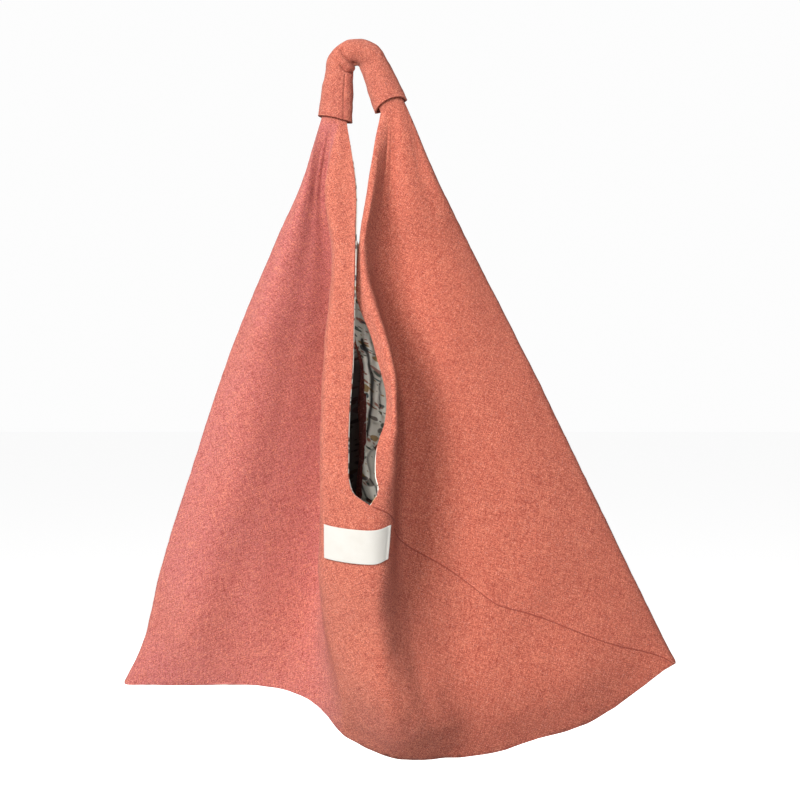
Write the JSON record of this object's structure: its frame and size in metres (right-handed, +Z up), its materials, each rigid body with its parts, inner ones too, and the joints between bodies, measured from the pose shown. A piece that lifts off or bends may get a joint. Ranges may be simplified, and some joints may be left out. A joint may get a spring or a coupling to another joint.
{
  "type": "azuma bag",
  "caption": "Hanging triangular tote folded from a strip of linen, lined in printed cotton, with a front slit mouth and a short sleeved handle.",
  "frame": {"origin": "underside of the handle's crown, where the bag hangs from a hook or peg", "axes": "+Z up along the hanging bag, -Y out of the front with the mouth and label, +X to the right seen from the front"},
  "size_m": [0.524, 0.1341, 0.6657],
  "materials": {
    "outer_linen": "matte coral linen weave",
    "lining_cotton": "matte printed cream cotton",
    "sleeve_linen": "matte coral linen weave",
    "label_cloth": "matte woven tape"
  },
  "bodies": {
    "root": {"outer_shell": "outer_linen", "lining": "lining_cotton", "handle_sleeve": "sleeve_linen", "label": "label_cloth"}
  },
  "joints": []
}
